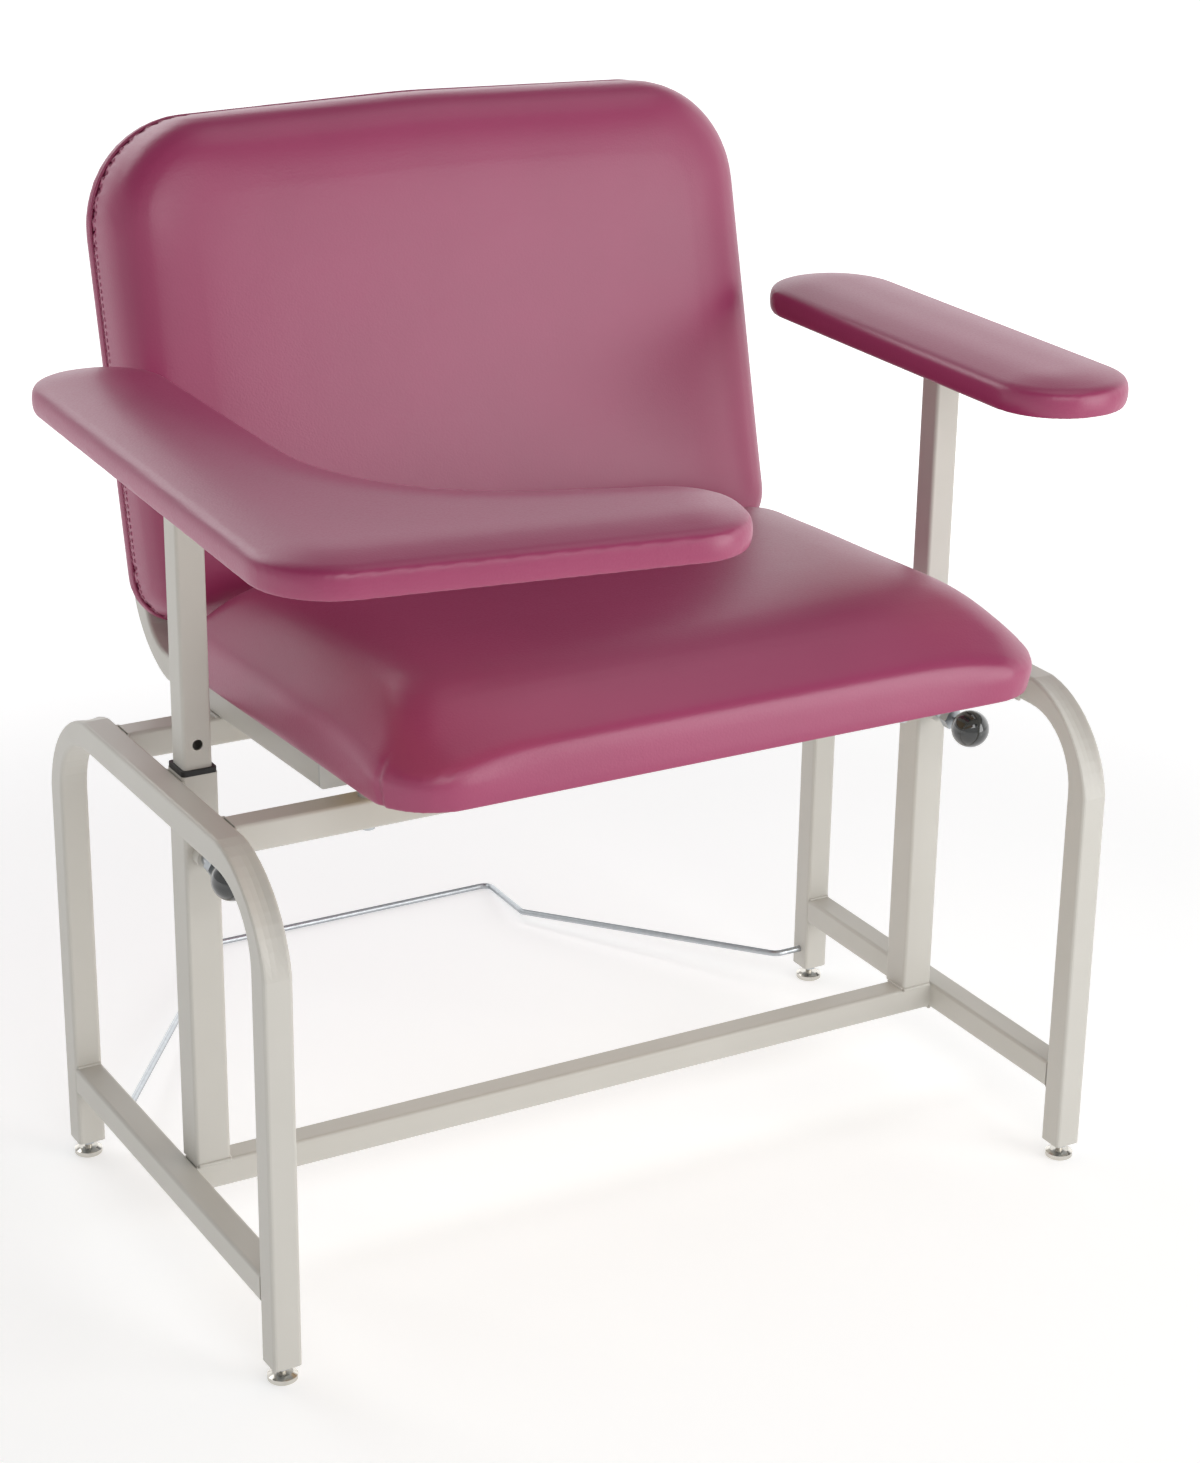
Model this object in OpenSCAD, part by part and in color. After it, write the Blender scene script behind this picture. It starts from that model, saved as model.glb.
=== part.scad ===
// Wide phlebotomy chair: a press-bent square tube frame, an upholstered seat and back
// on two L-shaped supports, a straight arm and an L-shaped arm on height-indexed posts
// with pull-knob plungers, a wire wall guard behind and four levelling glides.
// Millimetres, +Z up, -Y to the front. The origin is on the floor, midway between the glides.

/* [Square tube] */
// Outside width of the frame tube
tube = 25.4; // [24:0.1:26]
// Wall of every tube
tube_wall = 1.65; // [1.2:0.05:1.8]
// Outside corner radius of the frame tube
tube_corner_r = 3.2; // [2:0.1:4]

/* [Side frames] */
// Width over both side frames
frame_w = 815; // [780:1:860]
// Depth over the legs of a side frame
frame_d = 458; // [440:1:500]
// Height of the top rail above the floor
frame_h = 453; // [430:1:480]
// Inner radius of the two top bends
frame_bend_r = 62; // [55:1:75]
// How far the press flattens the outer face of a bend
bend_flatten = 5; // [2:0.5:6]
// How much deeper the middle of that face is dished
bend_dish = 4; // [1:0.5:5]
// Height of the leg ends above the floor
leg_end_z = 16; // [15:0.5:22]

/* [Rails] */
// Height of the lower rails' top face
lower_rail_z = 94.5; // [80:0.5:120]
// Distance of each cross rail's middle from the middle of the frame
cross_rail_y = 112; // [105:1:118]

/* [Arm posts] */
// Gap between an arm post and the wall of its sleeve
post_gap = 1.525; // [1.2:0.025:2]
// Distance that the sleeve stands above the top rail
sleeve_rise = 1.5; // [0:0.5:10]
// Thickness of the black collar on the sleeve
collar_t = 4.5; // [3:0.5:7]
// Distance between the index holes of a post
index_pitch = 31.75; // [25.4:0.05:32]
// Index holes above and below the set one
index_steps = 3; // [2:1:3]
// Difference between the diameters of an index hole and of its pin
index_play = 1.2; // [0.8:0.1:2]
// Distance from the top of the rails down to the plunger's axis
plunger_drop = 68.5; // [55:0.5:80]

/* [Plungers] */
// Diameter of the locking pin
pin_d = 8; // [6:0.5:8]
// Diameter of the ball knob
knob_d = 35; // [30:1:38]
// Gap between the plunger's body and the ball
knob_gap = 10; // [8:0.5:15]
// Width across the flats of the plunger's hexagon
plunger_hex = 17.5; // [17:0.5:20]

/* [Seat] */
// Gap between the side of the seat and the sleeve beside it
seat_side_gap = 40.85; // [35:0.05:55]
// Depth of the seat cushion
seat_d = 436; // [420:1:450]
// Thickness of the seat cushion at its crown
seat_t = 88; // [70:1:95]
// Corner radius of the seat in plan
seat_corner_r = 60; // [45:1:75]
// Width of the slope around the top of the seat
seat_slope_w = 98; // [85:1:110]
// Backward slope of the seat in degrees
seat_slope = 2.5; // [1:0.5:4]
// Gap between the rear edge of the seat and the foot of the back
seat_back_gap = 3.4; // [2:0.1:10]
// Distance from the side of the seat to the middle of the support under it
support_inset = 20.5; // [18:0.5:30]

/* [Back] */
// Distance that the back reaches past the seat at each side
back_overhang = 4.5; // [0:0.5:10]
// Height of the back cushion along its slope
back_h = 441; // [410:1:470]
// Distance that the back reaches below the start of the supports' bends
back_drop = 20; // [0:1:22]
// Thickness of the back's front cushion
back_t = 72; // [60:1:80]
// Thickness of the padded cover behind the seam
back_cover_t = 15; // [12:1:20]
// Radius of the back's two top corners
back_top_r = 106; // [90:1:120]
// Radius of the back's two bottom corners
back_bottom_r = 44; // [40:1:60]
// Width of the bevel around the back's front face
back_edge_r = 38; // [30:1:50]
// Lean of the back from upright in degrees
back_lean = 13.7; // [10:0.5:16]
// Inner radius of the bend in a seat and back support
support_bend_r = 44.5; // [42:0.5:55]

/* [Arms] */
// Height of the top of both arm pads
arm_top_z = 743; // [730:1:760]
// Thickness of an arm pad
arm_t = 24; // [22:0.5:30]
// Width of the straight arm pad
arm_w = 128; // [115:1:135]
// Length of the straight arm pad
arm_l = 464; // [440:1:470]
// Distance that the straight arm pad's middle lies behind its post
arm_back_shift = 4.5; // [0:0.5:6]
// Distance from the left post to the tip of the L-shaped pad
wing_reach = 302; // [280:1:320]
// Distance from the left post to the L-shaped pad's rear end
wing_rear = 210; // [190:1:215]
// Distance from the left post forward to the wing's outer corner
wing_front = 364; // [350:1:380]

/* [Boards] */
// Thickness of the seat and back boards
board_t = 15; // [12:0.5:18]
// Thickness of the boards in the arm pads
arm_board_t = 12; // [9:0.5:13]
// Distance of a board's edge from the edge of its cushion
board_inset = 12; // [11:0.5:16]

/* [Glides and wall guard] */
// Diameter of a glide's base
glide_d = 25.4; // [22:0.1:30]
// Height of a glide's base
glide_h = 7; // [5:0.5:8]
// Diameter of a glide's threaded stem
glide_stem_d = 6.35; // [6:0.05:8]
// Diameter of the wall guard's wire
guard_d = 6.35; // [5:0.05:8]
// Distance from the wall guard's hinge to its rear bar
guard_reach = 356; // [300:1:380]
// Height of the wall guard's hinge above the floor
guard_hinge_z = 35; // [30:1:50]

/* [Hidden] */
$fn = 40;

// Colours
putty = "#CBC7BF";
vinyl = "#9A5474";
zinc = "#C3C8CE";
nickel = "#D6D6D2";
black_plastic = "#171717";
smoked_plastic = "#3A3D3E";
grey_plastic = "#B9C0C2";
plywood = "#C9A878";

// Small shared sizes
over = 1;
bolt_d = 6.35;
bolt_clearance = 0.25;
bolt_head_d = 12;
bolt_head_t = 4;
bend_steps = 12;
corner_steps = 3;
running_gap = 0.05;
small_r = 0.6;

// Frame geometry
half_w = frame_w / 2;
leg_y = (frame_d - tube) / 2;
side_x = half_w - tube / 2;
inner_face_x = half_w - tube;
frame_axis_r = frame_bend_r + tube / 2;
frame_bend_z = frame_h - tube - frame_bend_r;
sleeve = tube + 2 * (tube_wall + post_gap);
sleeve_x = inner_face_x - sleeve / 2;
seat_w = 2 * (inner_face_x - sleeve - seat_side_gap);
back_w = seat_w + 2 * back_overhang;
index_hole_d = pin_d + index_play;
sleeve_top_z = frame_h + sleeve_rise;
plunger_z = frame_h - plunger_drop;
sleeve_bore = sleeve - 2 * tube_wall;
sleeve_corner_r = tube_corner_r;
stretcher_y = (tube - sleeve) / 2;

// Sides: left is -X and right is +X, seen from the front
sides = [-1, 1];

// A rounded square with true corner arcs
module tube_outline(w, r) {
    square([w - 2 * r, w], center = true);
    square([w, w - 2 * r], center = true);
    for (x = sides, y = sides) {
        translate([x * (w / 2 - r), y * (w / 2 - r)]) circle(r = r);
    }
}

// Wall section of a straight square tube
module tube_section(w = tube, wall = tube_wall, r = tube_corner_r) {
    difference() {
        tube_outline(w, r);
        tube_outline(w - 2 * wall, max(r - wall, small_r));
    }
}

// Straight tube along X, Y or Z, centred on its middle
module tube_z(length, w = tube) { linear_extrude(length) tube_section(w); }
module tube_y(length, w = tube) { rotate([90, 0, 0]) translate([0, 0, -length / 2]) tube_z(length, w); }
module tube_x(length, w = tube) { rotate([0, 90, 0]) translate([0, 0, -length / 2]) tube_z(length, w); }

// Points of a rounded square for a bent tube, [across, outward], anticlockwise.
// The outward face has extra points, so that the press can dish it.
dish_shares = [-0.5, 0, 0.5];
function bent_profile(w, r, steps) = let (h = w / 2, c = h - r) concat(
    [for (k = [0 : steps]) [c, -c] + r * [sin(90 * k / steps), -cos(90 * k / steps)]],
    [for (k = [0 : steps]) [c, c] + r * [cos(90 * k / steps), sin(90 * k / steps)]],
    [for (s = dish_shares) [-s * c, h]],
    [for (k = [0 : steps]) [-c, c] + r * [-sin(90 * k / steps), cos(90 * k / steps)]],
    [for (k = [0 : steps]) [-c, -c] + r * [-cos(90 * k / steps), -sin(90 * k / steps)]]
);

// A station of a bent tube is [y, z, angle of the outward direction, press share].
function arc_stations(cy, cz, r, from, to, steps = bend_steps) = [
    for (k = [0 : steps]) let (a = from + (to - from) * k / steps)
        [cy + r * cos(a), cz + r * sin(a), a, sin(180 * k / steps)]
];

// How far a point of the outward half moves in when the press closes
function pressed(p, share) = p.y <= 0 ? 0
    : share * min(1, p.y / (tube / 2 - tube_wall)) * (bend_flatten + bend_dish * cos(180 * p.x / tube));

function station_ring(s, profile) = [
    for (p = profile) let (v = p.y - pressed(p, s[3]))
        [p.x, s.x + v * cos(s[2]), s.y + v * sin(s[2])]
];

// Skin over equal rings of points, each anticlockwise seen along the way, with flat ends.
// A ring that isn't convex gets its ends as a strip that starts behind point number seam.
function polygon_end(n) = [[for (i = [n - 1 : -1 : 0]) i]];
function strip_end(n, seam) = [
    for (k = [0 : n / 2 - 2]) let (a = seam - 1 - k + n, b = seam + k)
        each [[b % n, a % n, (b + 1) % n], [(b + 1) % n, a % n, (a - 1) % n]]
];
module skin(rings, seam = 0) {
    n = len(rings[0]);
    m = len(rings);
    sides_a = [for (j = [0 : m - 2], i = [0 : n - 1])
        [j * n + i, (j + 1) * n + (i + 1) % n, (j + 1) * n + i]];
    sides_b = [for (j = [0 : m - 2], i = [0 : n - 1])
        [j * n + i, j * n + (i + 1) % n, (j + 1) * n + (i + 1) % n]];
    end = seam == 0 ? polygon_end(n) : strip_end(n, seam);
    far_end = [for (face = end) [for (i = [len(face) - 1 : -1 : 0]) (m - 1) * n + face[i]]];
    polyhedron([for (ring = rings, p = ring) p], concat(end, sides_a, sides_b, far_end), convexity = 6);
}

// Hollow bent tube; the two end stations run on by the overrun for the bore
module bent_tube(first, bends, last) {
    outer = bent_profile(tube, tube_corner_r, corner_steps);
    bore = bent_profile(tube - 2 * tube_wall, max(tube_corner_r - tube_wall, small_r), 1);
    // a tube runs a quarter turn clockwise from its outward direction
    first_over = [first.x - over * sin(first[2]), first.y + over * cos(first[2]), first[2], 0];
    last_over = [last.x + over * sin(last[2]), last.y - over * cos(last[2]), last[2], 0];
    difference() {
        skin([for (s = concat([first], bends, [last])) station_ring(s, outer)]);
        skin([for (s = concat([first_over], bends, [last_over])) station_ring(s, bore)]);
    }
}

// One rounded corner of an outline moved inward by the inset
function unit(v) = v / norm(v);
function left_of(v) = [-v.y, v.x];
function corner(before, here, after, r, inset, steps) = let (
    d1 = unit(here - before),
    d2 = unit(after - here),
    n1 = left_of(d1),
    n2 = left_of(d2),
    side = d1.x * d2.y - d1.y * d2.x > 0 ? 1 : -1,
    r_in = side > 0 ? max(r - inset, small_r) : r + inset,
    half_turn = acos(d1 * d2) / 2,
    vertex = here + (n1 + n2) * inset / (1 + n1 * n2),
    centre = vertex - d1 * r_in * tan(half_turn) + n1 * r_in * side,
    start = atan2(-n1.y * side, -n1.x * side)
) [for (k = [0 : steps]) let (a = start + side * 2 * half_turn * k / steps) centre + r_in * [cos(a), sin(a)]];

// Anticlockwise outline with rounded corners, moved inward by the inset
pad_corner_steps = 8;
function outline(points, radii, inset = 0, steps = pad_corner_steps) = let (n = len(points)) [
    for (i = [0 : n - 1])
        each corner(points[(i + n - 1) % n], points[i], points[(i + 1) % n], radii[i], inset, steps)
];
function rectangle(w, d, y = 0) = [[w / 2, y - d / 2], [w / 2, y + d / 2], [-w / 2, y + d / 2], [-w / 2, y - d / 2]];

// Section of a padded edge from the crown down to the tuck, as [inset, height]
edge_steps = 6;
tuck_steps = 2;
crown_shares = [1, 0.6, 0.3];
function pad_section(t, edge, tuck, side_z, shoulder_z, crown) = concat(
    [for (s = crown_shares) [edge + (crown - edge) * s, shoulder_z + (t - shoulder_z) * (1 - (1 - s) * (1 - s))]],
    [for (k = [edge_steps : -1 : 0]) let (a = 90 * k / edge_steps)
        [edge * (1 - cos(a)), side_z + (shoulder_z - side_z) * sin(a)]],
    [for (k = [1 : tuck_steps]) let (a = 90 * k / tuck_steps) [tuck * (1 - cos(a)), side_z * (1 - sin(a))]]
);
// The same with an upright side, a ridge that turns inward, and a convex slope up to the shoulder
ridge_turn = 58;
ridge_steps = 3;
slope_steps = 4;
function ridge_section(t, edge, tuck, side_z, ridge_r, shoulder_z, crown) = let (
    top = [ridge_r * (1 - cos(ridge_turn)), side_z + ridge_r * sin(ridge_turn)],
    bend = [top.x + (shoulder_z - top.y) * tan(ridge_turn), shoulder_z],
    shoulder = [edge, shoulder_z]
) concat(
    [for (s = crown_shares) [edge + (crown - edge) * s, shoulder_z + (t - shoulder_z) * (1 - (1 - s) * (1 - s))]],
    [for (k = [slope_steps : -1 : 1]) let (s = k / slope_steps)
        (1 - s) * (1 - s) * top + 2 * s * (1 - s) * bend + s * s * shoulder],
    [for (k = [ridge_steps : -1 : 0]) let (a = ridge_turn * k / ridge_steps)
        [ridge_r * (1 - cos(a)), side_z + ridge_r * sin(a)]],
    [for (k = [1 : tuck_steps]) let (a = 90 * k / tuck_steps) [tuck * (1 - cos(a)), side_z * (1 - sin(a))]]
);
// The second and third corners are at one end of the pad, where the strips over its faces start.
module pad(points, radii, section) {
    skin([for (s = section) [for (p = outline(points, radii, s[0])) [p.x, p.y, s[1]]]],
        2 * (pad_corner_steps + 1));
}
module board(points, radii, inset, t) {
    linear_extrude(t) polygon(outline(points, radii, inset));
}

// Bolt with its head below z = 0
module bolt(length) {
    cylinder(d = bolt_head_d, h = bolt_head_t);
    cylinder(d = bolt_d, h = bolt_head_t + length);
}
module bolt_bore(length) {
    cylinder(d = bolt_d + 2 * bolt_clearance, h = length);
}

// Side frame: two legs, two pressed bends and a top rail in one bent tube
guard_bore_d = guard_d + 2 * running_gap;
module side_frame(side) {
    color(putty) translate([side * side_x, 0, 0]) difference() {
        bent_tube(
            [-leg_y, leg_end_z, 180, 0],
            concat(
                arc_stations(-leg_y + frame_axis_r, frame_bend_z, frame_axis_r, 180, 90),
                arc_stations(leg_y - frame_axis_r, frame_bend_z, frame_axis_r, 90, 0)
            ),
            [leg_y, leg_end_z, 0, 0]
        );
        // bore for the wall guard's pin, through the inner wall of the rear leg
        translate([0, leg_y, guard_hinge_z]) rotate([0, -side * 90, 0])
            cylinder(d = guard_bore_d, h = tube / 2 + over);
    }
}
module left_side_frame() { side_frame(-1); }
module right_side_frame() { side_frame(1); }

// Rails
module lower_rail(side) {
    color(putty) translate([side * side_x, 0, lower_rail_z - tube / 2]) tube_y(frame_d - 2 * tube);
}
module left_lower_rail() { lower_rail(-1); }
module right_lower_rail() { lower_rail(1); }
module rear_cross_rail() {
    color(putty) translate([0, cross_rail_y, frame_h - tube / 2]) tube_x(2 * inner_face_x);
}
module front_cross_rail() {
    color(putty) difference() {
        translate([0, -cross_rail_y, frame_h - tube / 2]) tube_x(2 * inner_face_x);
        for (side = sides) {
            translate([side * stand_off_x, -cross_rail_y, frame_h - tube - over]) bolt_bore(tube + 2 * over);
        }
    }
}
module lower_stretcher() {
    color(putty) translate([0, stretcher_y, lower_rail_z - tube / 2]) tube_x(2 * inner_face_x);
}

// Sleeves that the arm posts slide in, standing on the stretcher against the side frames
pin_clearance = 0.3;
module post_sleeve(side) {
    color(putty) translate([side * sleeve_x, 0, 0]) difference() {
        translate([0, 0, lower_rail_z]) linear_extrude(sleeve_top_z - lower_rail_z)
            tube_section(sleeve, tube_wall, sleeve_corner_r);
        translate([0, 0, plunger_z]) rotate([90, 0, 0]) cylinder(d = pin_d + 2 * pin_clearance, h = sleeve);
    }
}
module left_post_sleeve() { post_sleeve(-1); }
module right_post_sleeve() { post_sleeve(1); }

// Plastic collar: a black rim on the sleeve with a bushing inside it
collar_gap = 0.1;
collar_skirt = 35;
collar_lip = 0.4;
module sleeve_collar(side) {
    color(black_plastic) translate([side * sleeve_x, 0, sleeve_top_z]) difference() {
        union() {
            linear_extrude(collar_t) tube_outline(sleeve - 2 * collar_lip, sleeve_corner_r);
            translate([0, 0, -collar_skirt]) linear_extrude(collar_skirt + collar_t / 2)
                tube_outline(sleeve_bore, max(sleeve_corner_r - tube_wall, small_r));
        }
        translate([0, 0, -collar_skirt - over]) linear_extrude(collar_skirt + collar_t + 2 * over)
            tube_outline(tube + 2 * collar_gap, tube_corner_r);
    }
}
module left_sleeve_collar() { sleeve_collar(-1); }
module right_sleeve_collar() { sleeve_collar(1); }

// Seat and back supports. The seat frame's origin is on the rear rail's rear top edge.
module in_seat_frame() {
    translate([0, cross_rail_y + tube / 2, frame_h]) rotate([-seat_slope, 0, 0]) children();
}
support_front = 231;
support_bend_y = 87;
upright_l = 300;
support_bend_steps = 9;
support_axis_r = support_bend_r + tube / 2;
support_bend_z = support_bend_r + tube;
upright_angle = -(back_lean - seat_slope);
upright_foot = [
    support_bend_y + support_axis_r * cos(upright_angle),
    support_bend_z + support_axis_r * sin(upright_angle)
];
upright_end = upright_foot + upright_l * [-sin(upright_angle), cos(upright_angle)];
support_x = seat_w / 2 - support_inset;
seat_bolt_ys = [-190, -60];
back_bolt_zs = [70, 250];
module seat_back_tube(side) {
    color(putty) in_seat_frame() translate([side * support_x, 0, 0]) difference() {
        bent_tube(
            [upright_end.x, upright_end.y, upright_angle, 0],
            arc_stations(support_bend_y, support_bend_z, support_axis_r, upright_angle, -90, support_bend_steps),
            [-support_front, tube / 2, -90, 0]
        );
        for (y = seat_bolt_ys) {
            translate([0, y, -over]) bolt_bore(tube + 2 * over);
        }
        in_upright_frame() for (z = back_bolt_zs) {
            translate([0, z, -tube - over]) bolt_bore(tube + 2 * over);
        }
    }
}
module left_seat_back_tube() { seat_back_tube(-1); }
module right_seat_back_tube() { seat_back_tube(1); }

// The upright frame lies on the uprights' front faces: its x is across, y up the back, z forward.
upright_face = [
    support_bend_y + support_bend_r * cos(upright_angle),
    support_bend_z + support_bend_r * sin(upright_angle)
];
module in_upright_frame() {
    translate([0, upright_face.x, upright_face.y]) rotate([upright_angle, 0, 0]) rotate([90, 0, 0]) children();
}
module in_back_frame() { in_seat_frame() in_upright_frame() children(); }

// Grey plastic plugs in the open ends of both supports
plug_cap = 2.5;
plug_depth = 12;
plug_gap = 0.2;
module tube_end_plug() {
    linear_extrude(plug_cap) tube_outline(tube, tube_corner_r);
    translate([0, 0, -plug_depth]) linear_extrude(plug_depth)
        tube_outline(tube - 2 * tube_wall - 2 * plug_gap, tube_corner_r);
}
module tube_end_plugs() {
    color(grey_plastic) in_seat_frame() for (side = sides) {
        translate([side * support_x, -support_front, tube / 2]) rotate([90, 0, 0]) tube_end_plug();
        translate([side * support_x, upright_end.x, upright_end.y]) rotate([upright_angle, 0, 0]) tube_end_plug();
    }
}

// Round stand-offs between the front rail and the seat board
stand_off_d = 16;
stand_off_inset = 27;
stand_off_x = support_x - stand_off_inset;
stand_off_block = 60;
module seat_stand_offs() {
    color(grey_plastic) difference() {
        for (side = sides) {
            translate([side * stand_off_x, -cross_rail_y, frame_h]) difference() {
                cylinder(d = stand_off_d, h = stand_off_block);
                translate([0, 0, -over]) bolt_bore(stand_off_block + 2 * over);
            }
        }
        in_seat_frame() translate([-frame_w / 2, -frame_d, tube]) cube([frame_w, 2 * frame_d, 2 * stand_off_block]);
    }
}

// Seat: plywood board, cushion drawn down over it, bolts from below
seat_rear = upright_face.x + back_drop * sin(upright_angle) - (back_cover_t + back_t) * cos(upright_angle)
    - seat_back_gap;
seat_front = seat_d - seat_rear;
seat_points = rectangle(seat_w, seat_d, seat_d / 2 - seat_front);
seat_radii = [for (i = [0 : 3]) seat_corner_r];
seat_side_share = 0.4;
seat_ridge_share = 0.15;
seat_shoulder_share = 0.93;
seat_tuck = 9;
seat_crown_share = 0.8;
board_bolt_share = 0.8;
module seat_bolt_shapes() {
    in_seat_frame() for (side = sides, y = seat_bolt_ys) {
        translate([side * support_x, y, -bolt_head_t]) bolt(tube + board_bolt_share * board_t);
    }
    for (side = sides) {
        translate([side * stand_off_x, -cross_rail_y, frame_h - tube - bolt_head_t]) bolt(front_bolt_l);
    }
}
front_bolt_l = 2 * tube + (2 * cross_rail_y + tube / 2) * tan(seat_slope) + board_bolt_share * board_t;
module seat_bolts() {
    color(zinc) seat_bolt_shapes();
}
module seat_board() {
    color(plywood) difference() {
        in_seat_frame() translate([0, 0, tube]) board(seat_points, seat_radii, board_inset, board_t);
        seat_bolt_shapes();
    }
}
module seat_cushion() {
    color(vinyl) in_seat_frame() translate([0, 0, tube]) difference() {
        pad(seat_points, seat_radii, ridge_section(seat_t, seat_slope_w, seat_tuck, seat_side_share * seat_t,
            seat_ridge_share * seat_t, seat_shoulder_share * seat_t, seat_crown_share * seat_d / 2));
        translate([0, 0, -over]) board(seat_points, seat_radii, board_inset, board_t + over);
    }
}

// Back: padded rear cover, plywood board and front cushion, bolted to the uprights
back_points = rectangle(back_w, back_h, back_h / 2 - back_drop);
back_radii = [back_bottom_r, back_top_r, back_top_r, back_bottom_r];
back_side_share = 0.77;
back_shoulder_share = 0.97;
back_tuck = 3;
back_crown_share = 0.7;
cover_edge_margin = 4;
cover_edge = back_drop + cover_edge_margin;
cover_side_share = 0.05;
module back_bolt_shapes() {
    in_back_frame() for (side = sides, z = back_bolt_zs) {
        translate([side * support_x, z, -tube - bolt_head_t]) bolt(tube + back_cover_t + board_bolt_share * board_t);
    }
}
module back_bolts() {
    color(zinc) back_bolt_shapes();
}
module back_rear_cover() {
    color(vinyl) difference() {
        in_back_frame() translate([0, 0, back_cover_t]) mirror([0, 0, 1]) pad(back_points, back_radii,
            pad_section(back_cover_t, cover_edge, back_tuck, cover_side_share * back_cover_t,
                back_cover_t, 2 * cover_edge));
        back_bolt_shapes();
    }
}
module back_board() {
    color(plywood) difference() {
        in_back_frame() translate([0, 0, back_cover_t]) board(back_points, back_radii, board_inset, board_t);
        back_bolt_shapes();
    }
}
module back_cushion() {
    color(vinyl) in_back_frame() translate([0, 0, back_cover_t]) difference() {
        pad(back_points, back_radii, pad_section(back_t, back_edge_r, back_tuck, back_side_share * back_t,
            back_shoulder_share * back_t, back_crown_share * back_h / 2));
        translate([0, 0, -over]) board(back_points, back_radii, board_inset, board_t + over);
    }
}

// Arm posts with index holes in their front walls
arm_plate_t = 3;
arm_plate_w = 70;
arm_plate_l = 120;
arm_plate_r = 10;
washer_t = 2;
pivot_cap_t = 4;
arm_under_z = arm_top_z - arm_t;
plate_z = arm_under_z - arm_plate_t;
left_post_top_z = plate_z - washer_t - pivot_cap_t;
right_post_top_z = plate_z;
post_end_margin = 16;
post_end_z = plunger_z - index_steps * index_pitch - post_end_margin;
module arm_post(side, top_z) {
    color(putty) translate([side * sleeve_x, 0, 0]) difference() {
        translate([0, 0, post_end_z]) tube_z(top_z - post_end_z);
        for (k = [-index_steps : index_steps]) {
            translate([0, -tube / 2 + tube_wall + over, plunger_z + k * index_pitch]) rotate([90, 0, 0])
                cylinder(d = index_hole_d, h = tube_wall + 2 * over);
        }
    }
}
module left_arm_post() { arm_post(-1, left_post_top_z); }
module right_arm_post() { arm_post(1, right_post_top_z); }

// Plastic shoe that keeps a post's lower end central in its sleeve
shoe_t = 8;
shoe_gap = 0.15;
module post_guide(side) {
    color(black_plastic) translate([side * sleeve_x, 0, post_end_z]) {
        translate([0, 0, -shoe_t]) linear_extrude(shoe_t) tube_outline(sleeve_bore - 2 * shoe_gap, tube_corner_r);
        linear_extrude(plug_depth) tube_outline(tube - 2 * tube_wall, max(tube_corner_r - tube_wall, small_r));
    }
}
module left_post_guide() { post_guide(-1); }
module right_post_guide() { post_guide(1); }

// Swivel of the L-shaped arm: a cap with a stud on the post, a thrust washer, a plate and a lock nut
stud_d = 12.7;
nut_flats = 19;
nut_t = 8;
washer_d = 24;
recess_d = 28;
stud_rise = 9;
module left_pivot_cap() {
    color(zinc) translate([-sleeve_x, 0, left_post_top_z]) {
        linear_extrude(pivot_cap_t) tube_outline(tube, tube_corner_r);
        cylinder(d = stud_d, h = arm_under_z + stud_rise - left_post_top_z);
    }
}
module left_pivot_washer() {
    color(black_plastic) translate([-sleeve_x, 0, left_post_top_z + pivot_cap_t]) difference() {
        cylinder(d = washer_d, h = washer_t);
        translate([0, 0, -over]) cylinder(d = stud_d, h = washer_t + 2 * over);
    }
}
module left_pivot_nut() {
    color(zinc) translate([-sleeve_x, 0, arm_under_z + running_gap]) difference() {
        cylinder(d = nut_flats / cos(30), h = nut_t, $fn = 6);
        translate([0, 0, -over]) cylinder(d = stud_d, h = nut_t + 2 * over);
    }
}

// Arm plates with four wood screws each
arm_screw_d = 4.2;
arm_screw_head_d = 9;
arm_screw_head_t = 2.5;
arm_screw_l = 12;
arm_screw_x = 25;
arm_screw_y = 50;
module arm_screw_shapes(side) {
    for (x = sides, y = sides) {
        translate([side * sleeve_x + x * arm_screw_x, y * arm_screw_y, plate_z - arm_screw_head_t]) {
            cylinder(d = arm_screw_head_d, h = arm_screw_head_t);
            cylinder(d = arm_screw_d, h = arm_screw_head_t + arm_screw_l);
        }
    }
}
module arm_plate(side) {
    translate([side * sleeve_x, 0, plate_z]) linear_extrude(arm_plate_t) {
        square([arm_plate_w - 2 * arm_plate_r, arm_plate_l], center = true);
        square([arm_plate_w, arm_plate_l - 2 * arm_plate_r], center = true);
        for (x = sides, y = sides) {
            translate([x * (arm_plate_w / 2 - arm_plate_r), y * (arm_plate_l / 2 - arm_plate_r)])
                circle(r = arm_plate_r);
        }
    }
}
module left_arm_plate() {
    color(putty) difference() {
        arm_plate(-1);
        arm_screw_shapes(-1);
        translate([-sleeve_x, 0, plate_z - over]) cylinder(d = stud_d + 2 * running_gap, h = arm_plate_t + 2 * over);
    }
}
module right_arm_plate() {
    color(putty) difference() {
        arm_plate(1);
        arm_screw_shapes(1);
    }
}
module left_arm_screws() { color(zinc) arm_screw_shapes(-1); }
module right_arm_screws() { color(zinc) arm_screw_shapes(1); }

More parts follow.
